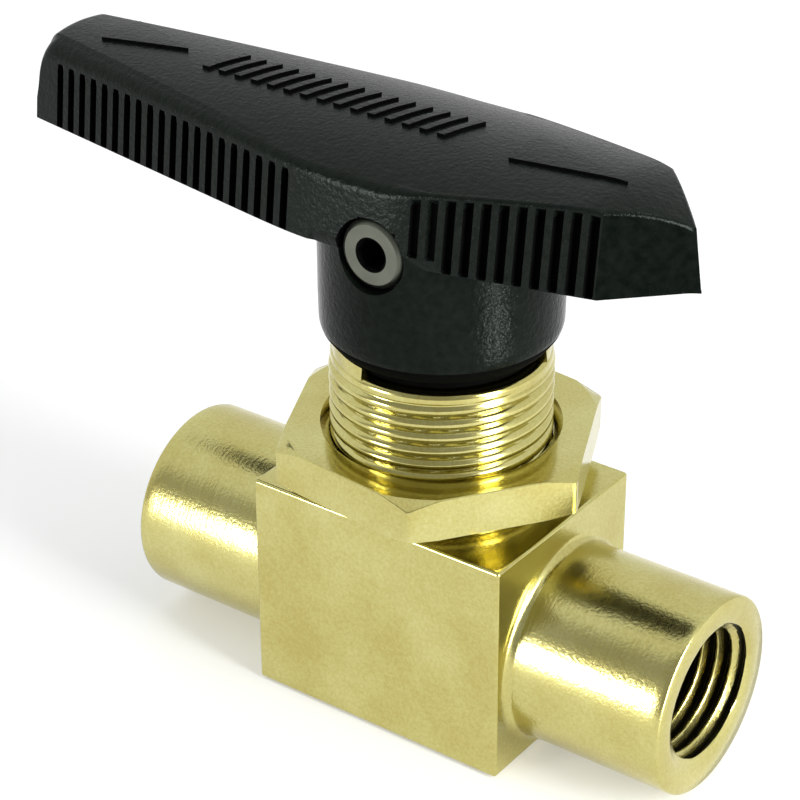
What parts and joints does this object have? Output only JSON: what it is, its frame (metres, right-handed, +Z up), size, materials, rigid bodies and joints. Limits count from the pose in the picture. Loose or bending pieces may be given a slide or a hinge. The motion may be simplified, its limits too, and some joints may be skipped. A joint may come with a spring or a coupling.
{
  "type": "quarter-turn ball valve",
  "caption": "Small brass quarter-turn instrumentation ball valve with square block, threaded hubs, panel nut and black bar handle.",
  "frame": {"origin": "middle of the body block's flat bottom face", "axes": "+X along the flow axis towards the outlet hub, +Z up the stem, +Y away from the handle's set screw; shown open, handle along X with its long arm towards -X"},
  "size_m": [0.0683, 0.0266, 0.0532],
  "materials": {
    "brass_machined": "bright machined",
    "steel_plain": "satin",
    "nylon_black": "fine moulded texture",
    "fluoropolymer_white": "smooth",
    "bearing_polymer": "smooth"
  },
  "bodies": {
    "body": {"valve_body": "brass_machined", "packing": "fluoropolymer_white", "side_ring_inlet": "steel_plain", "side_ring_outlet": "steel_plain", "side_disc_inlet": "steel_plain", "side_disc_outlet": "steel_plain", "lower_gland": "steel_plain", "upper_gland": "steel_plain", "gland_spring_lower": "steel_plain", "gland_spring_upper": "steel_plain", "packing_bolt": "steel_plain", "stem_bearing": "bearing_polymer"},
    "handle": {"handle_grip": "nylon_black", "handle_insert": "steel_plain", "set_screw": "steel_plain", "ball_stem": "steel_plain"},
    "nut": {"panel_nut": "brass_machined"}
  },
  "joints": [
    {"name": "handle_turn", "type": "hinge", "parent": "body", "child": "handle", "pos_m": [0, 0, 0.0454], "axis": [0, 0, -1], "range_deg": [0, 90]},
    {"name": "nut_travel", "type": "slide", "parent": "body", "child": "nut", "axis": [0, 0, 1], "range_m": [-0.0019, 0.005]}
  ]
}
